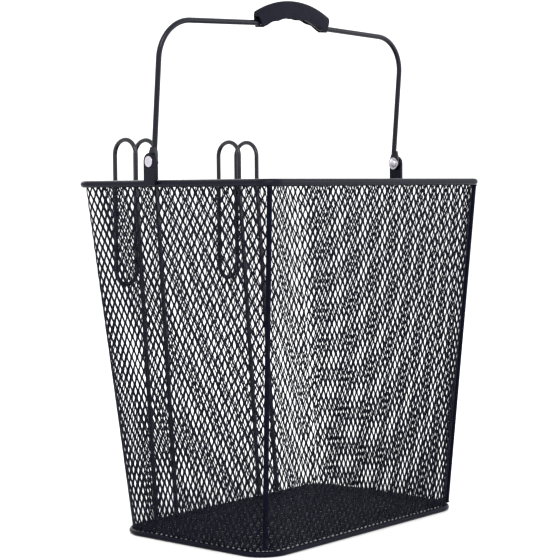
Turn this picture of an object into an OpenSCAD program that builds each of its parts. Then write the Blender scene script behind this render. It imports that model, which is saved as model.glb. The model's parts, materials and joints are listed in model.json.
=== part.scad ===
// Handlebar basket: tall tapered basket of expanded steel mesh on a wire frame, hung by two
// bent-wire hooks and carried by a swinging wire bail with a moulded grip. Millimetres.
// +Z up, +X along the wide side, +Y towards the hooks (the bicycle), the base on Z = 0.

/* [Basket] */
// Length of the rim along X, wire centre to wire centre
rim_w = 340; // [260:1:420]
// Depth of the rim along Y, wire centre to wire centre
rim_d = 255; // [200:1:320]
// Height of the rim wire's centre above the ground
rim_z = 350; // [250:1:420]
// Rim wire diameter
rim_wire = 7; // [5:0.1:8]
// Rim corner radius, at the wire's centre
rim_r = 14; // [10:1:40]
// Length of the bottom ring along X, wire centre to wire centre
base_w = 313; // [220:1:400]
// Depth of the bottom ring along Y, wire centre to wire centre
base_d = 194; // [140:1:300]
// How far the bottom ring sits in front of the rim's middle
base_shift = 10; // [0:1:40]
// Bottom ring wire diameter
base_wire = 5.2; // [4:0.1:7]
// Bottom ring corner radius, at the wire's centre
base_r = 28; // [15:1:50]
// Diameter of the two upright wires in the front corners
post_wire = 5; // [3:0.1:6]
// Overall thickness of the expanded mesh
mesh_t = 1.5; // [1:0.1:3]

/* [Hooks] */
// Distance of each hook's middle from the middle of the back
hook_x = 80; // [50:1:120]
// Hook wire diameter
hook_wire = 4.7; // [3:0.1:6]
// Spacing of the two wires of one hook, centre to centre
hook_pair = 29.5; // [20:0.5:40]
// Bend radius over the top of a hook, at the wire's centre
hook_r = 15.5; // [13:0.5:22]
// Height of the hook's top above the rim wire's centre
hook_rise = 46.3; // [35:0.1:70]
// Lowest point of the hook's front loop below the rim wire's centre
hook_drop = 106; // [60:1:160]
// How far each hook's long legs end towards the left of their tops
hook_lean = 16.5; // [0:0.5:20]

/* [Bail] */
// Half the spacing of the bail's legs, centre to centre
bail_half = 171.2; // [150:0.1:190]
// Height of the bail's straight top above its pivots, beside the corner bend
bail_h = 136.8; // [100:0.1:170]
// Bail wire diameter
bail_wire = 5.4; // [4:0.1:6]
// Bail corner radius, at the wire's centre
bail_r = 38; // [15:1:50]
// Lean of the bail towards the front as it stands
bail_lean = 5.2; // [0:0.1:20]
// Height of the pivots above the rim wire's centre
pivot_rise = 21; // [18:1:40]
// Each bracket's distance from the middle of the pivot line, the left back and the right forward
bracket_offset = 16.5; // [0:0.5:30]
// Middle of the pivot line, behind the rim's middle
pivot_y = 3; // [-10:1:10]
// Bracket strap width
bracket_w = 16.5; // [12:0.5:20]
// Bracket strap thickness
bracket_t = 3; // [2:0.5:4]
// Rivet shank diameter
rivet_d = 5; // [4:0.5:6]

/* [Grip] */
// Length of the grip along its back
grip_l = 104; // [90:1:130]
// How far the grip sits to the right of the bail's middle
grip_shift = 3; // [-5:0.1:5]
// Width of the grip across the bail, at its feet
grip_w = 13; // [12:0.5:24]
// Height of the grip's top above the pivots
grip_top = 165.1; // [150:0.1:180]
// Wall of the moulding
grip_wall = 2.4; // [2:0.1:4]

/* [Hidden] */
$fn = 48;
eps = 0.05;

black = [0.10, 0.10, 0.12];
mesh_black = [0.13, 0.13, 0.15];
zinc = [0.72, 0.72, 0.75];
plastic = [0.14, 0.14, 0.17];

base_z = base_wire/2;
floor_z = base_wire;
mesh_z0 = floor_z + mesh_t + 0.1;
mesh_out = 1.2;                                    // mesh's outer face, inside the wires' centres
mesh_z1 = rim_z - sqrt(pow(rim_wire/2, 2) - pow(mesh_out, 2));
leg_in = rim_wire/2 + hook_wire/2 + 0.1;           // hook legs, inside the rim's centre
slope = atan((rim_d/2 - base_d/2 + base_shift)/(rim_z - base_z));
hook_leg_y = rim_d/2 - leg_in/cos(slope);          // the inner legs at the rim's height
hook_front_y = hook_leg_y + 2*hook_r;
hook_top_z = rim_z + hook_rise - hook_r;           // centre of the bend over the top
front_y = -rim_d/2 - rim_wire/2;
origin_y = -(front_y + hook_front_y + hook_wire/2)/2;

skew = atan(bracket_offset/bail_half);
pivot_z = rim_z + pivot_rise;
eye_t = 2.6;
eye_d = 14;
eye_s = bail_half + bail_wire/2 + 0.4 - eye_t/2;    // middle of the flattened eye, along the pivot line
plate_s = eye_s + eye_t/2 + 0.1;                    // inner face of the bracket
washer_t = 1;
washer_d = 13;
washer_s = eye_s - eye_t/2 - 0.1 - washer_t;        // inner face of the washer
bore_d = rivet_d + 0.1;
top_slope = 2.2;                                    // the bail's top rises towards the grip
arch_r = 88;                                        // the wire's arch inside the grip
arch_a = 28;
arch_bend = 12;                                     // bend from the straight top into the arch
corner_t = bail_h - bail_r;                         // heights above the pivots, ending in _t
knee = [bail_half - bail_r + bail_r*sin(top_slope), 0, corner_t + bail_r*cos(top_slope)];
bend_s = (arch_r + arch_bend)*sin(arch_a);
top_start_s = bend_s - arch_bend*sin(top_slope);
top_start = [top_start_s, 0, knee[2] + (knee[0] - top_start_s)*tan(top_slope)];
bend_t = top_start[2] + arch_bend*cos(top_slope);
arch_t = bend_t - (arch_r + arch_bend)*cos(arch_a);
grip_back_r = 107;                                  // radius of the grip's arched back
hook_bend = 20;                                     // bend from a hook's upright into its sloping leg

// Size of the basket's outline at a height: [width, depth, corner radius, shift, height]
function level(z) =
    let (k = (z - base_z)/(rim_z - base_z))
    [base_w + k*(rim_w - base_w), base_d + k*(rim_d - base_d), base_r + k*(rim_r - base_r),
     -base_shift*(1 - k), z];

// A point of the outline at corner direction [sx, sy] and angle a, off inside the wire's centre
function edge(l, sx, sy, a, off) =
    [sx*(l[0]/2 - l[2]) + (l[2] - off)*cos(a), sy*(l[1]/2 - l[2]) + l[3] + (l[2] - off)*sin(a), l[4]];

// Where a wire of the given diameter stands in a front corner
function corner(z, sx) = edge(level(z), sx, -1, sx > 0 ? 315 : 225, 0);

// Straight wire from a to b
module rod(a, b, d) {
    v = b - a;
    translate(a)
        rotate([0, acos(v[2]/norm(v)), atan2(v[1], v[0])])
            cylinder(d = d, h = norm(v));
}

// Bead that joins a straight wire to a bend, a hair proud of both
module bead(p, d) {
    translate(p) sphere(d = d + eps);
}

// Puts its children where the whole basket's origin is: the middle of its footprint
module place() {
    translate([0, origin_y, 0]) children();
}

// Closed wire loop with rounded corners, centred on the origin
module wire_loop(w, d, r, wire) {
    for (s = [-1, 1]) {
        translate([-(w/2 - r), s*d/2, 0]) rotate([0, 90, 0]) cylinder(d = wire, h = w - 2*r);
        translate([s*w/2, d/2 - r, 0]) rotate([90, 0, 0]) cylinder(d = wire, h = d - 2*r);
    }
    for (k = [0:3])
        translate([(k == 0 || k == 3 ? 1 : -1)*(w/2 - r), (k < 2 ? 1 : -1)*(d/2 - r), 0])
            rotate([0, 0, 90*k])
                rotate_extrude(angle = 90) translate([r, 0]) circle(d = wire);
}

module top_rim() {
    color(black) translate([0, 0, rim_z]) wire_loop(rim_w, rim_d, rim_r, rim_wire);
}

module bottom_ring() {
    color(black) translate([0, -base_shift, base_z]) wire_loop(base_w, base_d, base_r, base_wire);
}

// Mesh wall whose middle faces direction m, from one rounded corner to the next.
// cut0 and cut1 are the widths left free for the corner wires at its two ends.
module mesh_wall(m, cut0, cut1) {
    lo = level(mesh_z0);
    hi = level(mesh_z1);
    steps = 5;
    function sgn(v) = v > 0 ? 1 : -1;
    function trim(l, cut) = asin(cut/(l[2] - mesh_out - mesh_t));
    function turn(l, i) = i <= steps
        ? m - (45 - trim(l, cut0))*(steps - i)/steps
        : m + (45 - trim(l, cut1))*(i - steps - 1)/steps;
    function side(i) = i <= steps ? m - 45 : m + 45;
    function at(l, i, off) = edge(l, sgn(cos(side(i))), sgn(sin(side(i))), turn(l, i), off);
    n = 2*steps + 2;
    pts = [for (i = [0:n - 1]) each [at(lo, i, mesh_out), at(lo, i, mesh_out + mesh_t),
                                     at(hi, i, mesh_out + mesh_t), at(hi, i, mesh_out)]];
    walls = [for (i = [0:n - 2]) for (j = [0:3])
        let (a = 4*i + j, b = 4*i + (j + 1)%4) each [[a, b, b + 4], [a, b + 4, a + 4]]];
    ends = [[0, 3, 2], [0, 2, 1], [4*n - 4, 4*n - 3, 4*n - 2], [4*n - 4, 4*n - 2, 4*n - 1]];
    color(mesh_black) polyhedron(points = pts, faces = concat(walls, ends));
}

module mesh_floor() {
    l = level(floor_z + mesh_t/2);
    w = l[0] - 1;
    d = l[1] - 1;
    r = l[2] - 0.5;
    color(mesh_black)
        translate([0, l[3], floor_z + eps])
            linear_extrude(mesh_t) {
                square([w, d - 2*r], center = true);
                square([w - 2*r, d], center = true);
                for (sx = [-1, 1], sy = [-1, 1]) translate([sx*(w/2 - r), sy*(d/2 - r)]) circle(r);
            }
}

module front_post(sx) {
    a = corner(mesh_z0 + 0.2, sx);
    b = corner(rim_z - rim_wire/2 - 0.1, sx);
    color(black) rod(a, b, post_wire);
}

// One wire bent into a double hook: two legs down the inside of the back wall, over the rim in
// two bends, and down to a loop that hangs behind the basket
module hook(x0) {
    loop_r = hook_pair/2;
    loop_z = rim_z - hook_drop + loop_r;
    foot = mesh_z0 + 0.8;
    bend_z = rim_z + 4;
    bend = [0, hook_leg_y - hook_bend*(1 - cos(slope)), bend_z - hook_bend*sin(slope)];
    foot_y = bend[1] - (bend[2] - foot)*tan(slope);
    color(black) translate([x0, 0, 0]) {
        for (s = [-1, 1]) translate([s*hook_pair/2, 0, 0]) {
            rod([-hook_lean, foot_y, foot], bend, hook_wire);
            bead(bend, hook_wire);
            translate([0, hook_leg_y - hook_bend, bend_z]) rotate([90, 0, 90])
                rotate([0, 0, -slope])
                    rotate_extrude(angle = slope) translate([hook_bend, 0]) circle(d = hook_wire);
            translate([0, hook_leg_y, bend_z]) cylinder(d = hook_wire, h = hook_top_z - bend_z);
            translate([0, hook_leg_y + hook_r, hook_top_z]) rotate([90, 0, 90])
                rotate_extrude(angle = 180) translate([hook_r, 0]) circle(d = hook_wire);
            translate([0, hook_front_y, loop_z]) cylinder(d = hook_wire, h = hook_top_z - loop_z);
        }
        translate([0, hook_front_y, loop_z]) rotate([-90, 0, 0])
            rotate_extrude(angle = 180) translate([loop_r, 0]) circle(d = hook_wire);
    }
}

// Puts its children in the pivot line's own frame: X along the line, origin at its middle
module pivot_frame() {
    translate([0, pivot_y, pivot_z]) rotate([0, 0, -skew]) children();
}

// A disc or ring across the pivot line, from s0 to s1
module across(s0, s1, d) {
    translate([s0, 0, 0]) rotate([0, 90, 0]) cylinder(d = d, h = s1 - s0);
}

module bracket(side) {
    color(black) pivot_frame() side_frame(side) difference() {
        union() {
            across(plate_s, plate_s + bracket_t, bracket_w);
            translate([plate_s, -bracket_w/2, -pivot_rise - 1.5])
                cube([bracket_t, bracket_w, pivot_rise + 1.5]);
        }
        across(plate_s - 1, plate_s + bracket_t + 1, bore_d);
    }
}

// Points of a domed end: radius r at height h0, falling to the axis h further on
function dome(r, h0, h) = [for (i = [0:6]) [i == 6 ? 0 : r*cos(15*i), h0 + h*sin(15*i)]];
function reversed(list) = [for (i = [len(list) - 1:-1:0]) list[i]];

module rivet(side) {
    out = plate_s + bracket_t;
    inner = washer_s;
    profile = concat(reversed(dome(4.5, inner - 0.6, -2)),
                     [[4.5, inner], [rivet_d/2, inner], [rivet_d/2, out], [5.3, out]],
                     dome(5.3, out + 0.8, 1));
    color(zinc) pivot_frame() side_frame(side) rotate([0, 90, 0]) rotate_extrude()
        polygon(profile);
}

module washer(side) {
    color(zinc) pivot_frame() side_frame(side) difference() {
        across(washer_s, washer_s + washer_t, washer_d);
        across(washer_s - 1, washer_s + washer_t + 1, bore_d);
    }
}

// The left side is the right side turned half round the vertical
module side_frame(side) {
    rotate([0, 0, side > 0 ? 0 : 180]) children();
}

module bail_half_wire() {
    turn = 90 - top_slope;
    // flattened eye and its neck
    difference() {
        union() {
            across(eye_s - eye_t/2, eye_s + eye_t/2, eye_d);
            translate([eye_s - eye_t/2, 0, 0]) rotate([90, 0, 90]) linear_extrude(eye_t)
                polygon([[-6.4, 2.8], [6.4, 2.8], [5.2, 6.6], [bail_wire/2, 14], [-bail_wire/2, 14],
                         [-5.2, 6.6]]);
        }
        across(eye_s - eye_t, eye_s + eye_t, bore_d);
    }
    translate([bail_half, 0, 11]) cylinder(d = bail_wire, h = corner_t - 11);
    translate([bail_half - bail_r, 0, corner_t]) rotate([90, 0, 0])
        rotate_extrude(angle = turn) translate([bail_r, 0]) circle(d = bail_wire);
    rod(top_start, knee, bail_wire);
    bead(top_start, bail_wire);
    bead(knee, bail_wire);
    bead([arch_r*sin(arch_a), 0, arch_t + arch_r*cos(arch_a)], bail_wire);
    translate([bend_s, 0, bend_t]) rotate([90, 0, 0]) rotate([0, 0, 270 - arch_a])
        rotate_extrude(angle = arch_a - top_slope) translate([arch_bend, 0]) circle(d = bail_wire);
}

module bail_wire() {
    color(black) pivot_frame() rotate([bail_lean, 0, 0]) {
        bail_half_wire();
        rotate([0, 0, 180]) bail_half_wire();
        translate([0, 0, arch_t]) rotate([90, 0, 0]) rotate([0, 0, 90 - arch_a])
            rotate_extrude(angle = 2*arch_a) translate([arch_r, 0]) circle(d = bail_wire);
    }
}

// Side view of the grip: slanted ends, flat feet and finger ripples beneath, open above.
// inset > 0 makes the outline of the hollow inside it, which stays open at the bottom too.
module grip_outline(inset) {
    under_r = 100;
    under_t = grip_top - 17.5 - under_r;
    foot_t = grip_top - 29.5;
    slant = 7;
    above = slant*((grip_top + 5 - foot_t)/15.5 - 1);
    l = grip_l/2 - inset;
    under = [for (i = [24:-1:-24]) let (s = 44*i/24)
        [s, under_t + sqrt(under_r*under_r - s*s) + 0.5*cos(360*s/16.5) - 0.5]];
    opening = [[l - slant, foot_t - 4], [-l + slant, foot_t - 4]];
    polygon(concat([[-l - above, grip_top + 5], [l + above, grip_top + 5], [l - slant, foot_t]],
                   inset > 0 ? opening : under, [[-l + slant, foot_t]]));
}

// Section of the grip, [radius, width]: narrow at the back, widening towards the feet
module grip_section(inset) {
    crown = 20 - inset;
    top = grip_back_r - inset;
    half = grip_w/2 - inset;
    side = [for (a = [0:10:80]) [top - crown*(1 - sin(a)), half*cos(a)]];
    polygon(concat([[top - 36, half]], side, [[top, 0]],
                   [for (p = reversed(side)) [p[0], -p[1]]], [[top - 36, -half]]));
}

module grip_solid(inset) {
    intersection() {
        translate([0, 0, grip_top - grip_back_r]) rotate([90, 0, 0]) rotate([0, 0, 90 - 36])
            rotate_extrude(angle = 72) grip_section(inset);
        translate([0, grip_w, 0]) rotate([90, 0, 0]) linear_extrude(2*grip_w) grip_outline(inset);
    }
}

module grip() {
    slot = bail_wire + 0.2;
    color(plastic) pivot_frame() rotate([bail_lean, 0, 0]) translate([grip_shift, 0, 0])
        difference() {
            grip_solid(0);
            grip_solid(grip_wall);
            // openings in the end walls, where the wire comes in
            for (s = [-1, 1])
                translate([s*(grip_l/2 - 4) - 6, -slot/2, bail_h + 0.2]) cube([12, slot, 9.3]);
        }
}

place() top_rim();
place() bottom_ring();
place() front_post(-1);  // front_post_left
place() front_post(1);  // front_post_right
place() mesh_wall(270, 2.7, 2.7);  // mesh_front
place() mesh_wall(0, 2.7, 0.1);  // mesh_right
place() mesh_wall(90, 0.1, 0.1);  // mesh_back
place() mesh_wall(180, 0.1, 2.7);  // mesh_left
place() mesh_floor();
place() hook(-hook_x);  // hook_left
place() hook(hook_x);  // hook_right
place() bracket(-1);  // bracket_left
place() bracket(1);  // bracket_right
place() rivet(-1);  // rivet_left
place() rivet(1);  // rivet_right
place() washer(-1);  // washer_left
place() washer(1);  // washer_right
place() bail_wire();
place() grip();
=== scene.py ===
import json
import math

import bpy
import numpy as np
from mathutils import Matrix, Vector


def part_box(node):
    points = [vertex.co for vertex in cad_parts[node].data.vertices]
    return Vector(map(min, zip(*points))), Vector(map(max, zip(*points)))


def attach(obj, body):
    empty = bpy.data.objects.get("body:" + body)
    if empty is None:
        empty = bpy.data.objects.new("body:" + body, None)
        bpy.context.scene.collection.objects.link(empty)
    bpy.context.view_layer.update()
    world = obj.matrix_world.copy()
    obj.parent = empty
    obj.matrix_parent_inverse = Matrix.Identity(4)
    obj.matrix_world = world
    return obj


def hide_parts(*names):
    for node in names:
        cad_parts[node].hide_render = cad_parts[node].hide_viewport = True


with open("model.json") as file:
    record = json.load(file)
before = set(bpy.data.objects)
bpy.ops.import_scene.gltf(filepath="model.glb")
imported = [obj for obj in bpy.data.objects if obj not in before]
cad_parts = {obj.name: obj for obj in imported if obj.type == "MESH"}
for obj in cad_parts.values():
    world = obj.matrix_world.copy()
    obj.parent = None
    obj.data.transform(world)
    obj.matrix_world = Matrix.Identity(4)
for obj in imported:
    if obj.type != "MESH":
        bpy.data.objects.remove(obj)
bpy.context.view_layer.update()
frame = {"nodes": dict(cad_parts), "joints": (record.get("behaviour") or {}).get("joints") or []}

MM = 0.001

# Expanded mesh
SHEET_IN = 1.95*MM        # the sheet's middle, inside the wires' centres
STRAND_W = 1.68*MM        # one strand's width and thickness
STRAND_T = 0.80*MM
STRAND_TILT = math.radians(18)
BOND = 0.15               # half the length of a bond between two strands, in half-rows
RAGGED = 0.14*MM          # how far a bond strays from its place
MESH_FOOT = 0.62          # how far up the ring and down the rim a wall ends, in wire radii
MESH_HEAD = 0.66
FLOOR_INSET = 0.5*MM      # how much smaller the floor's corner radius is than the ring's
FLOOR_END = 0.4*MM        # strand points nearer the floor's edge than this are left out
STRAND_LIE = 0.9*(STRAND_W*math.cos(STRAND_TILT) + STRAND_T*math.sin(STRAND_TILT))/2
#                           from a bond's middle line to the middle of either strand in it

# Corner radii of the wire loops, at the wires' centres
RIM_R = 14*MM
RING_R = 28*MM

# Hooks, whose two wires stand upright where they pass the rim
HOOK_WIRE = 4.7*MM
HOOK_PAIR = 29.5*MM       # spacing of the two wires, centre to centre

# Grip, in the swinging bail's own frame: s along the pivots, w across, t up from the pivots
LEAN = math.radians(5.2)
GRIP_L = 104*MM
GRIP_SHIFT = 3*MM         # how far it sits to the right of the bail's middle
GRIP_W = 13*MM
GRIP_TOP = 165.1*MM
GRIP_WALL = 2.4*MM
GRIP_BACK_R = 107*MM      # radius of its arched back
GRIP_CROWN = 20*MM        # depth over which its section widens from the back to the full width
GRIP_FOOT = GRIP_TOP - 29.5*MM
GRIP_SLANT = 7*MM         # how far the feet stand back from the ends of the arched back
GRIP_SLANT_H = 15.5*MM    # height over which an end face leans out by that much
GRIP_ARCH_R = 100*MM      # the arch under it, and its highest point
GRIP_ARCH = GRIP_TOP - 17.5*MM
FINGER = 16.5*MM          # pitch of the finger ripples, and half their depth
RIPPLE = 0.5*MM
SLOT_HALF_W = 2.9*MM      # opening for the wire in each end
SLOT_LOW = GRIP_FOOT + 2.6*MM
SLOT_HIGH = GRIP_FOOT + 10.7*MM
SLOT_IN = 10*MM           # how far its cutter reaches into and out of the end
SLOT_OUT = 2*MM


class Loop:
    """A closed wire loop, read from its CAD node's box."""

    def __init__(self, node, radius):
        lo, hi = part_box(node)
        self.wire = hi.z - lo.z
        self.mid = (lo + hi)/2
        self.half = ((hi.x - lo.x - self.wire)/2, (hi.y - lo.y - self.wire)/2)
        self.radius = radius


rim = Loop("top_rim", RIM_R)
ring = Loop("bottom_ring", RING_R)


def level(z):
    """Half width, half depth, corner radius and middle Y of the basket's outline at heights z."""
    k = (z - ring.mid.z)/(rim.mid.z - ring.mid.z)
    return [a + k*(b - a) for a, b in ((ring.half[0], rim.half[0]), (ring.half[1], rim.half[1]),
                                       (ring.radius, rim.radius), (ring.mid.y, rim.mid.y))]


def link(name, verts, faces, smooth=True):
    """A new mesh object in the scene."""
    mesh = bpy.data.meshes.new(name)
    mesh.from_pydata(verts, [], faces)
    mesh.update()
    mesh.polygons.foreach_set("use_smooth", [smooth]*len(mesh.polygons))
    obj = bpy.data.objects.new(name, mesh)
    bpy.context.scene.collection.objects.link(obj)
    return obj


def unit(v):
    return v/np.linalg.norm(v, axis=-1, keepdims=True)


# ---- expanded mesh -------------------------------------------------------------------------

def strand_section():
    """A strand's section with its edges rounded by the paint, tilted as the press leaves it."""
    c = 0.55
    flat = [(1, -c), (1, c), (c, 1), (-c, 1), (-1, c), (-1, -c), (-c, -1), (c, -1)]
    pts = np.array(flat)*(STRAND_W/2, STRAND_T/2)
    cos, sin = math.cos(STRAND_TILT), math.sin(STRAND_TILT)
    return pts @ np.array([[cos, sin], [-sin, cos]])


SECTION = strand_section()


class Strands:
    """Collects strands of expanded metal into one mesh."""

    def __init__(self):
        self.verts = []
        self.faces = []

    def add(self, centres, normals):
        """One strand along the centres, lying in the sheet whose normals are given."""
        along = unit(np.gradient(centres, axis=0))
        side = unit(np.cross(normals, along))
        out = np.cross(along, side)
        k = len(SECTION)
        first = len(self.verts)
        rings = (centres[:, None] + SECTION[None, :, 0:1]*side[:, None]
                 + SECTION[None, :, 1:2]*out[:, None])
        self.verts.extend(rings.reshape(-1, 3).tolist())
        for i in range(len(centres) - 1):
            a = first + i*k
            for j in range(k):
                b = (j + 1) % k
                self.faces.append((a + j, a + b, a + k + b, a + k + j))
        last = first + (len(centres) - 1)*k
        self.faces.append(tuple(range(first + k - 1, first - 1, -1)))
        self.faces.append(tuple(range(last, last + k)))

    def build(self, name, node):
        obj = link(name, self.verts, self.faces)
        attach(obj, "basket")
        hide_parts(node)
        return obj


def wall_point(facing, q, z, out):
    """Points and outward normals of a wall. q runs along it from its middle, at heights z, and
    out is how far they stand outside the sheet's middle. Its ends turn round the corners."""
    half_x, half_y, radius, mid_y = level(z)
    sideways = facing % 180 == 0
    half_along, half_out = (half_y, half_x) if sideways else (half_x, half_y)
    r = radius - SHEET_IN
    straight = half_along - radius
    turn = np.clip((np.abs(q) - straight)/r, 0, None)
    sign = np.sign(q)
    along = np.where(turn > 0, sign*(straight + (r + out)*np.sin(turn)), q)
    away = half_out - radius + (r + out)*np.cos(turn)
    n_along, n_away = sign*np.sin(turn), np.cos(turn)
    a = math.radians(facing)
    e_out = np.array([math.cos(a), math.sin(a), 0])
    e_along = np.array([-math.sin(a), math.cos(a), 0])
    points = along[:, None]*e_along + away[:, None]*e_out
    points[:, 1] += mid_y
    points[:, 2] = z
    return points, n_along[:, None]*e_along + n_away[:, None]*e_out


def wall_reach(facing, z):
    """Distance along a wall from its middle to the middle of its rounded corner, at heights z."""
    half_x, half_y, radius, _ = level(z)
    half_along = half_y if facing % 180 == 0 else half_x
    return half_along - radius + (radius - SHEET_IN)*math.pi/4


def mesh_wall(node, facing, columns, half_rows, grade, cuts, seed):
    """A wall of vertical zigzag strands. facing is the direction it faces, in degrees from +X.
    grade is how much wider the first column is than the middle one, and cuts are the widths left
    free for the corner wires at its two ends."""
    z0 = ring.mid.z + MESH_FOOT*ring.wire/2
    z1 = rim.mid.z - MESH_HEAD*rim.wire/2
    lines = np.arange(2*columns + 1)/(2*columns)
    lines = lines + grade*lines*(1 - lines)
    rng = np.random.RandomState(seed)
    stray = rng.uniform(-RAGGED, RAGGED, (3, 2*columns + 1, half_rows + 1))
    rows = np.repeat(np.arange(half_rows + 1), 2)
    steps = rows + np.tile([-BOND, BOND], half_rows + 1)
    z_of = z0 + np.clip(steps/half_rows, 0, 1)*(z1 - z0)
    mesh = Strands()
    for i in range(2*columns):
        right = (i + rows) % 2
        line = i + right
        reach = wall_reach(facing, z_of)
        start, end = cuts[0] - reach, reach - cuts[1]
        q = start + lines[line]*(end - start) + np.where(right, -STRAND_LIE, STRAND_LIE)
        q = q + stray[0, line, rows]
        z = z_of + stray[1, line, rows]*(np.abs(steps/half_rows - 0.5) < 0.49)
        points, normals = wall_point(facing, q, z, stray[2, line, rows]*0.5)
        mesh.add(points, normals)
    return mesh.build(node + "_strands", node)


def mesh_floor(node, columns, half_rows):
    """The floor's zigzag strands run along X and end on the bottom ring."""
    lo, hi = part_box(node)
    mid = (lo + hi)/2
    half_x, half_y = (hi.x - lo.x)/2, (hi.y - lo.y)/2
    r = ring.radius - FLOOR_INSET
    rng = np.random.RandomState(5)
    stray = rng.uniform(-RAGGED, RAGGED, (2, 2*columns + 1, half_rows + 1))
    rows = np.repeat(np.arange(half_rows + 1), 2)
    steps = (rows + np.tile([-BOND, BOND], half_rows + 1))/half_rows
    mesh = Strands()
    for i in range(2*columns):
        right = (i + rows) % 2
        line = i + right
        edge = half_y - 2*STRAND_LIE
        y = (line/columns - 1)*edge + np.where(right, -STRAND_LIE, STRAND_LIE) + stray[0, line, rows]
        x = (2*steps - 1)*half_x
        corner = np.clip(np.abs(y) - (half_y - r), 0, r - 1e-5)
        limit = half_x - r + np.sqrt(r*r - corner*corner)
        inside = np.abs(x) < limit - FLOOR_END
        keep = np.flatnonzero(inside)
        ends = [[-limit[keep[0]], y[keep[0]]], [limit[keep[-1]], y[keep[-1]]]]
        flat = np.vstack([ends[0], np.column_stack([x, y])[keep], ends[1]])
        height = np.concatenate([[0], stray[1, line, rows][keep], [0]])*0.4
        centres = np.column_stack([flat[:, 0] + mid.x, flat[:, 1] + mid.y, height + mid.z])
        mesh.add(centres, np.tile([0, 0, 1.0], (len(centres), 1)))
    return mesh.build(node + "_strands", node)


post_cut = 2.9*MM
back_cut = 0.6*MM
walls = [
    mesh_wall("mesh_front", facing=270, columns=45, half_rows=49, grade=0.06,
              cuts=(post_cut, post_cut), seed=1),
    mesh_wall("mesh_right", facing=0, columns=30, half_rows=50, grade=-0.08,
              cuts=(post_cut, back_cut), seed=2),
    mesh_wall("mesh_back", facing=90, columns=43, half_rows=49, grade=0,
              cuts=(back_cut, back_cut), seed=3),
    mesh_wall("mesh_left", facing=180, columns=26, half_rows=51, grade=-0.06,
              cuts=(back_cut, post_cut), seed=4),
]
floor_mesh = mesh_floor("mesh_floor", columns=26, half_rows=46)


# ---- weld beads ----------------------------------------------------------------------------

class Welds:
    """Collects weld beads: short lumpy runs of metal in the corner between two pieces."""

    def __init__(self):
        self.verts = []
        self.faces = []
        self.rng = np.random.RandomState(11)

    def add(self, a, b, radius):
        a, b = Vector(a), Vector(b)
        along = (b - a).normalized()
        side = along.orthogonal().normalized()
        up = along.cross(side)
        rings, sides = 11, 12
        first = len(self.verts)
        for i in range(rings):
            t = i/(rings - 1)
            swell = math.sin(math.pi*(0.04 + 0.92*t))**0.5*(1 + 0.10*math.cos(2*math.pi*4*t))
            for j in range(sides):
                turn = 2*math.pi*j/sides
                r = radius*swell*(1 + self.rng.uniform(-0.05, 0.05))
                self.verts.append(a.lerp(b, t) + (side*math.cos(turn) + up*math.sin(turn))*r)
        for i in range(rings - 1):
            for j in range(sides):
                p, q = first + i*sides + j, first + i*sides + (j + 1) % sides
                self.faces.append((p, q, q + sides, p + sides))
        self.faces.append(tuple(range(first + sides - 1, first - 1, -1)))
        last = first + (rings - 1)*sides
        self.faces.append(tuple(range(last, last + sides)))


def weld_hook(name):
    """Upright beads on both sides of each of the hook's two wires, where they pass the rim."""
    beside, reach, bead = 1.5*MM, 2.6*MM, 1.0*MM
    right_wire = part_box(name)[1].x - HOOK_WIRE/2
    for x in (right_wire - HOOK_PAIR, right_wire):
        y = rim.mid.y + rim.half[1] - rim.wire/2
        for side in (-1, 1):
            welds.add((x + side*beside, y - 0.3*MM, rim.mid.z - reach),
                      (x + side*beside, y - 0.3*MM, rim.mid.z + reach), bead)


def weld_post(name):
    """Level beads, diagonal in plan, at the top and the foot of a front corner's wire."""
    inset, reach, bead = 2.5*MM, 2.2*MM, 1.5*MM
    lo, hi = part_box(name)
    sign = math.copysign(1, lo.x)
    top = Vector((sign*max(abs(lo.x), abs(hi.x)) - sign*inset, lo.y + inset, hi.z - 0.4*MM))
    foot = Vector((sign*min(abs(lo.x), abs(hi.x)) + sign*inset, hi.y - inset, lo.z + 0.2*MM))
    for p in (top, foot):
        welds.add(p + Vector((-reach, sign*reach, 0)), p + Vector((reach, -sign*reach, 0)), bead)


def weld_bracket(name):
    """Two level beads, above and below the rim's middle, that hold a bracket."""
    beside, reach, bead = 1.9*MM, 5.5*MM, 1.2*MM
    lo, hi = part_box(name)
    sign = math.copysign(1, lo.x)
    x = sign*(rim.half[0] + 1.2*MM)
    mid_y = (lo.y + hi.y)/2
    for z in (rim.mid.z + 2.9*MM, rim.mid.z - 1.4*MM):
        welds.add((x + sign*beside, mid_y - reach, z), (x + sign*beside, mid_y + reach, z), bead)


welds = Welds()
for weld, kind in ((weld_hook, "hook_"), (weld_post, "front_post_"), (weld_bracket, "bracket_")):
    for side in ("left", "right"):
        weld(kind + side)
weld_obj = link("weld_beads", welds.verts, welds.faces)
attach(weld_obj, "basket")


# ---- grip ----------------------------------------------------------------------------------

joint = frame["joints"][0]
axis_s = Vector(joint["axis"]).normalized()
upright = Vector((0, 0, 1))
across = upright.cross(axis_s).normalized()
turn_back = Matrix.Rotation(LEAN, 3, axis_s)
axis_w = turn_back @ across
axis_t = turn_back @ upright
bail_frame = Matrix.Translation(Vector(joint["pos_m"])) @ Matrix(
    [[axis_s[i], axis_w[i], axis_t[i]] for i in range(3)]).to_4x4()


def grip_back(s, inset):
    """Height of the grip's arched back."""
    return GRIP_TOP - GRIP_BACK_R + math.sqrt((GRIP_BACK_R - inset)**2 - s*s)


def grip_end(s, inset):
    """Height of the slanted end face, which rises from the foot to the end of the back."""
    reach = GRIP_L/2 - inset
    rise = GRIP_FOOT + (abs(s) - reach + GRIP_SLANT)/GRIP_SLANT*GRIP_SLANT_H
    return min(rise, grip_back(s, inset) - 0.4*MM)


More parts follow.
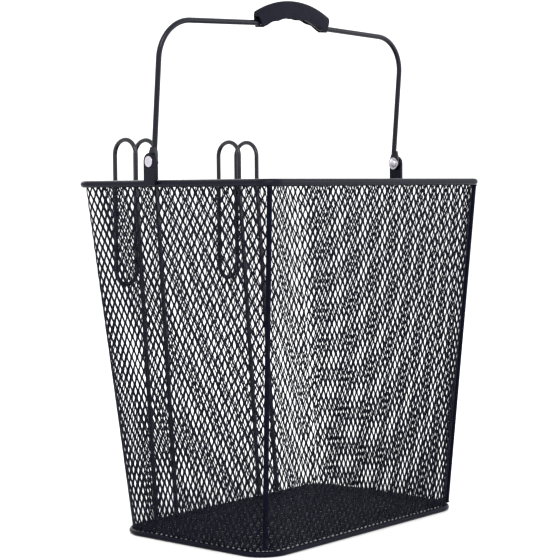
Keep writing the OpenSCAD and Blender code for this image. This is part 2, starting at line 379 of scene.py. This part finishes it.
def grip_under(s):
    """Height of the grip's lower edge: an arch with finger ripples, between two feet."""
    if abs(s) > GRIP_L/2 - GRIP_SLANT:
        return grip_end(s, 0)
    arch = GRIP_ARCH - GRIP_ARCH_R + math.sqrt(GRIP_ARCH_R**2 - s*s)
    return max(arch + RIPPLE*(math.cos(2*math.pi*s/FINGER) - 1), GRIP_FOOT)


def grip_opening(s):
    """Height of the hollow's lower end: wide open, but for the walls at the two ends."""
    if abs(s) > GRIP_L/2 - GRIP_WALL - GRIP_SLANT:
        return grip_end(s, GRIP_WALL)
    return GRIP_FOOT - 15*MM


def swept(name, inset, bottom, stations=140):
    """A closed solid along s whose section widens from the grip's back down to bottom(s)."""
    half_w = GRIP_W/2 - inset
    crown = GRIP_CROWN - inset
    section = []
    for x in np.sin(np.linspace(-math.pi/2, math.pi/2, stations))*(GRIP_L/2 - inset):
        hi = grip_back(x, inset)
        depths = (hi - bottom(x))*np.linspace(1, 0, 14)**2
        widths = half_w*np.sqrt(1 - (1 - np.minimum(depths/crown, 1))**2)
        right = list(zip(widths, hi - depths))
        left = [(-w, t) for w, t in reversed(right[:-1])]
        section.append([(x, w, t) for w, t in right + left])
    n = len(section[0])
    verts = [p for ring_pts in section for p in ring_pts]
    faces = [(i*n + j, i*n + (j + 1) % n, (i + 1)*n + (j + 1) % n, (i + 1)*n + j)
             for i in range(stations - 1) for j in range(n)]
    faces.append(tuple(range(n - 1, -1, -1)))
    faces.append(tuple(range((stations - 1)*n, stations*n)))
    return link(name, verts, faces, smooth=False)


def bar(name, lo, hi):
    """A rectangular cutter."""
    corners = [(x, y, z) for x in (lo[0], hi[0]) for y in (lo[1], hi[1]) for z in (lo[2], hi[2])]
    faces = [(0, 1, 3, 2), (4, 6, 7, 5), (0, 4, 5, 1), (2, 3, 7, 6), (0, 2, 6, 4), (1, 5, 7, 3)]
    return link(name, corners, faces, smooth=False)


def apply_modifiers(obj):
    """Turns what the modifiers make into the object's own mesh."""
    graph = bpy.context.evaluated_depsgraph_get()
    mesh = bpy.data.meshes.new_from_object(obj.evaluated_get(graph))
    obj.modifiers.clear()
    obj.data = mesh


def cut(obj, tool):
    """Takes the tool's solid away from obj's."""
    modifier = obj.modifiers.new("cut", "BOOLEAN")
    modifier.operation = "DIFFERENCE"
    modifier.solver = "EXACT"
    modifier.object = tool
    apply_modifiers(obj)
    bpy.data.objects.remove(tool)


grip = swept("grip_moulding", 0.1*MM, grip_under)
cut(grip, swept("hollow", GRIP_WALL, grip_opening))
for sign in (-1, 1):
    inner, outer = sorted((sign*(GRIP_L/2 - SLOT_IN), sign*(GRIP_L/2 + SLOT_OUT)))
    cut(grip, bar("slot", (inner, -SLOT_HALF_W, SLOT_LOW), (outer, SLOT_HALF_W, SLOT_HIGH)))
remesh = grip.modifiers.new("skin", "REMESH")
remesh.mode = "VOXEL"
remesh.voxel_size = 0.45*MM
apply_modifiers(grip)
smooth = grip.modifiers.new("soften", "SMOOTH")
smooth.factor = 0.5
smooth.iterations = 4
apply_modifiers(grip)
grip.data.transform(bail_frame @ Matrix.Translation((GRIP_SHIFT, 0, 0)))
grip.data.polygons.foreach_set("use_smooth", [True]*len(grip.data.polygons))
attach(grip, "bail")
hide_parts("grip")


# ---- materials -----------------------------------------------------------------------------

class Finish:
    """A node material with short calls for the textures the finishes share."""

    def __init__(self, name):
        self.mat = bpy.data.materials.new(name)
        self.mat.use_nodes = True
        self.tree = self.mat.node_tree
        self.shader = self.tree.nodes["Principled BSDF"]
        self.where = self.add("ShaderNodeTexCoord").outputs["Object"]
        self.normal = self.add("ShaderNodeNewGeometry").outputs["Normal"]

    def add(self, kind, **values):
        node = self.tree.nodes.new(kind)
        for key, value in values.items():
            setattr(node, key, value)
        return node

    def join(self, source, socket):
        self.tree.links.new(source, socket)

    def noise(self, scale, detail=3, stretch=None):
        """Noise from 0 to 1, with features 1/scale metres across."""
        node = self.add("ShaderNodeTexNoise")
        node.inputs["Scale"].default_value = scale
        node.inputs["Detail"].default_value = detail
        where = self.where
        if stretch:
            scaled = self.add("ShaderNodeVectorMath", operation="MULTIPLY")
            scaled.inputs[1].default_value = stretch
            self.join(self.where, scaled.inputs[0])
            where = scaled.outputs[0]
        self.join(where, node.inputs["Vector"])
        return node.outputs["Fac"]

    def spread(self, value, low, high, to_low=0.0, to_high=1.0):
        """Maps low..high of a value onto to_low..to_high, clamped."""
        node = self.add("ShaderNodeMapRange")
        self.join(value, node.inputs["Value"])
        for key, number in (("From Min", low), ("From Max", high),
                            ("To Min", to_low), ("To Max", to_high)):
            node.inputs[key].default_value = number
        return node.outputs["Result"]

    def math(self, operation, a, b):
        node = self.add("ShaderNodeMath", operation=operation)
        for socket, value in zip(node.inputs, (a, b)):
            if isinstance(value, (int, float)):
                socket.default_value = value
            else:
                self.join(value, socket)
        return node.outputs[0]

    def mix(self, factor, a, b):
        """Blend of two colours, each a triple or a socket."""
        node = self.add("ShaderNodeMix", data_type="RGBA")
        self.join(factor, node.inputs["Factor"])
        for socket, value in ((node.inputs[6], a), (node.inputs[7], b)):
            if isinstance(value, tuple):
                socket.default_value = (*value, 1)
            else:
                self.join(value, socket)
        return node.outputs[2]

    def facing(self, direction, low, high):
        """Mask of the faces that point in a direction."""
        node = self.add("ShaderNodeVectorMath", operation="DOT_PRODUCT")
        self.join(self.normal, node.inputs[0])
        node.inputs[1].default_value = direction
        return self.spread(node.outputs["Value"], low, high)

    def bump(self, height, distance, strength):
        node = self.add("ShaderNodeBump")
        node.inputs["Distance"].default_value = distance
        node.inputs["Strength"].default_value = strength
        self.join(height, node.inputs["Height"])
        self.join(node.outputs["Normal"], self.shader.inputs["Normal"])

    def set(self, **values):
        for key, value in values.items():
            self.shader.inputs[key.replace("_", " ")].default_value = value


COAT = (0.0045, 0.0051, 0.0115)
COAT_PALE = (0.0090, 0.0102, 0.0225)
COAT_WORN = (0.055, 0.057, 0.070)
PLASTIC = (0.0085, 0.0088, 0.0165)
PLASTIC_PALE = (0.0135, 0.014, 0.0245)
PLASTIC_WORN = (0.085, 0.085, 0.10)


def powder_coat(name, rubbed, rub, rough, gloss):
    """Satin powder coat: slight orange peel, cloudy tone, and polish where it is rubbed. rubbed is
    the direction that the worn side faces, rub how worn it is, rough and gloss the coat's own."""
    f = Finish(name)
    cloud = f.spread(f.noise(55, 4), 0.35, 0.70)
    speck = f.spread(f.noise(2300, 2), 0.55, 0.75)
    toned = f.mix(f.math("MULTIPLY", cloud, 0.35), COAT, COAT_PALE)
    toned = f.mix(f.math("MULTIPLY", speck, 0.25), toned, COAT_PALE)
    scuff = f.math("MULTIPLY", f.facing(rubbed, 0.55, 0.98), f.spread(f.noise(240, 5), 0.50, 0.66))
    worn = f.math("MULTIPLY", scuff, rub)
    f.join(f.mix(worn, toned, COAT_WORN), f.shader.inputs["Base Color"])
    grain = f.spread(f.noise(420, 4), 0.3, 0.7, rough - 0.06, rough + 0.07)
    f.join(f.math("SUBTRACT", grain, f.math("MULTIPLY", worn, 0.15)), f.shader.inputs["Roughness"])
    f.bump(f.noise(1500, 3), 0.05*MM, 0.35)
    f.set(Specular_IOR_Level=gloss)
    return f.mat


def mesh_coat(name):
    """The same coat on the mesh: cloudy, and worn pale along the strands' edges."""
    f = Finish(name)
    cloud = f.spread(f.noise(38, 4), 0.35, 0.70)
    fine = f.spread(f.noise(900, 3), 0.40, 0.75)
    toned = f.mix(f.math("MULTIPLY", cloud, 0.40), COAT, COAT_PALE)
    toned = f.mix(f.math("MULTIPLY", fine, 0.35), toned, COAT_PALE)
    edge = f.spread(f.add("ShaderNodeNewGeometry").outputs["Pointiness"], 0.52, 0.62)
    edge = f.math("MULTIPLY", edge, f.spread(f.noise(160, 4), 0.50, 0.62))
    f.join(f.mix(f.math("MULTIPLY", edge, 0.5), toned, COAT_WORN), f.shader.inputs["Base Color"])
    f.join(f.spread(f.noise(300, 4), 0.3, 0.7, 0.42, 0.56), f.shader.inputs["Roughness"])
    f.bump(f.noise(2100, 3), 0.04*MM, 0.4)
    f.set(Specular_IOR_Level=0.10)
    return f.mat


def zinc(name):
    """Zinc-plated steel: fine drawn grain, faint bluish and straw clouds."""
    f = Finish(name)
    cloud = f.spread(f.noise(500, 3), 0.3, 0.7)
    toned = f.mix(cloud, (0.46, 0.45, 0.50), (0.60, 0.57, 0.62))
    stain = f.math("MULTIPLY", f.spread(f.noise(1300, 4), 0.55, 0.72), 0.4)
    f.join(f.mix(stain, toned, (0.50, 0.48, 0.47)), f.shader.inputs["Base Color"])
    f.join(f.spread(f.noise(1800, 4), 0.3, 0.7, 0.30, 0.48), f.shader.inputs["Roughness"])
    f.bump(f.noise(5200, 3, (1, 1, 0.25)), 0.02*MM, 0.35)
    f.set(Metallic=1.0)
    return f.mat


def plastic(name):
    """Moulded plastic with a spark-eroded grain, paler where hands and edges rub."""
    f = Finish(name)
    cloud = f.spread(f.noise(70, 4), 0.35, 0.70)
    toned = f.mix(f.math("MULTIPLY", cloud, 0.5), PLASTIC, PLASTIC_PALE)
    edge = f.spread(f.add("ShaderNodeNewGeometry").outputs["Pointiness"], 0.53, 0.60)
    edge = f.math("MULTIPLY", edge, f.spread(f.noise(350, 4), 0.35, 0.65, 0.25, 0.6))
    f.join(f.mix(edge, toned, PLASTIC_WORN), f.shader.inputs["Base Color"])
    f.join(f.spread(f.noise(600, 4), 0.3, 0.7, 0.50, 0.64), f.shader.inputs["Roughness"])
    f.bump(f.noise(2600, 2), 0.06*MM, 0.45)
    f.set(Specular_IOR_Level=0.12)
    return f.mat


def dress(obj, material):
    """The object wears this material only."""
    obj.data.materials.clear()
    obj.data.materials.append(material)


UP, DOWN, FRONT = (0, 0, 1), (0, 0, -1), (0, -1, 0)
nodes = frame["nodes"]
coat_rim = powder_coat("coat_rim", rubbed=UP, rub=0.35, rough=0.34, gloss=0.18)
coat_ring = powder_coat("coat_ring", rubbed=DOWN, rub=0.8, rough=0.36, gloss=0.10)
coat_posts = powder_coat("coat_posts", rubbed=FRONT, rub=0.15, rough=0.40, gloss=0.03)
coat_hooks = powder_coat("coat_hooks", rubbed=DOWN, rub=0.8, rough=0.26, gloss=0.55)
coat_brackets = powder_coat("coat_brackets", rubbed=UP, rub=0.3, rough=0.36, gloss=0.16)
coat_bail = powder_coat("coat_bail", rubbed=UP, rub=0.25, rough=0.24, gloss=0.32)
coat_welds = powder_coat("coat_welds", rubbed=UP, rub=0.4, rough=0.28, gloss=0.25)
dress(nodes["top_rim"], coat_rim)
dress(nodes["bottom_ring"], coat_ring)
dress(nodes["bail_wire"], coat_bail)
for side in ("left", "right"):
    dress(nodes["front_post_" + side], coat_posts)
    dress(nodes["hook_" + side], coat_hooks)
    dress(nodes["bracket_" + side], coat_brackets)
    dress(nodes["rivet_" + side], zinc("zinc_rivet_" + side))
    dress(nodes["washer_" + side], zinc("zinc_washer_" + side))
coat_mesh = mesh_coat("coat_mesh")
for obj in walls + [floor_mesh]:
    dress(obj, coat_mesh)
dress(weld_obj, coat_welds)
dress(grip, plastic("grip_plastic"))


# ---- studio --------------------------------------------------------------------------------

def studio_floor(size):
    """A wide pale floor under the basket."""
    corners = [(-size, -size), (size, -size), (size, size), (-size, size)]
    obj = link("studio_floor", [(x, y, -0.2*MM) for x, y in corners], [(0, 1, 2, 3)], smooth=False)
    f = Finish("floor_paper")
    f.join(f.mix(f.noise(3, 2), (0.90, 0.90, 0.90), (0.93, 0.93, 0.93)), f.shader.inputs["Base Color"])
    f.set(Roughness=0.9, Specular_IOR_Level=0.1)
    dress(obj, f.mat)


def softbox(name, place, target, size, power):
    """A rectangular light at a place, aimed at a target, with its power in watts."""
    light = bpy.data.lights.new(name, "AREA")
    light.shape = "RECTANGLE"
    light.size, light.size_y = size
    light.energy = power
    obj = bpy.data.objects.new(name, light)
    obj.location = place
    obj.rotation_mode = "QUATERNION"
    obj.rotation_quaternion = (Vector(target) - Vector(place)).to_track_quat("-Z", "Y")
    bpy.context.scene.collection.objects.link(obj)


def camera(place, yaw, pitch, roll, lens):
    """Camera at a place, looking along yaw and down by pitch, and turned by roll, in degrees."""
    yaw, pitch, roll = (math.radians(v) for v in (yaw, pitch, roll))
    ahead = Vector((math.cos(pitch)*math.cos(yaw), math.cos(pitch)*math.sin(yaw), -math.sin(pitch)))
    right = Vector((math.sin(yaw), -math.cos(yaw), 0))
    up = right.cross(ahead)
    level_right, level_up = right.copy(), up.copy()
    right = math.cos(roll)*level_right + math.sin(roll)*level_up
    up = math.cos(roll)*level_up - math.sin(roll)*level_right
    data = bpy.data.cameras.new("camera")
    data.lens = lens
    data.sensor_width = 36
    obj = bpy.data.objects.new("camera", data)
    turn = Matrix([[right[i], up[i], -ahead[i]] for i in range(3)])
    obj.matrix_world = Matrix.Translation(place) @ turn.to_4x4()
    bpy.context.scene.collection.objects.link(obj)
    bpy.context.scene.camera = obj


studio_floor(30)
middle = (0, 0, 0.2)
softbox("key", place=(-1.6, -1.5, 1.7), target=middle, size=(1.4, 1.0), power=24)
softbox("fill", place=(1.5, -1.9, 0.9), target=middle, size=(1.6, 1.4), power=10)
softbox("back", place=(0.6, 2.2, 1.6), target=middle, size=(1.8, 1.2), power=16)
world = bpy.data.worlds.new("studio")
world.use_nodes = True
sky = world.node_tree.nodes["Background"]
sky.inputs["Color"].default_value = (1, 1, 1, 1)
sky.inputs["Strength"].default_value = 1.15
bpy.context.scene.world = world
bpy.context.scene.view_settings.view_transform = "Standard"
bpy.context.scene.view_settings.look = "Medium High Contrast"
camera(place=(-1.2661, -1.08773, 0.3451), yaw=40.54, pitch=3.29, roll=-0.43, lens=103.2)
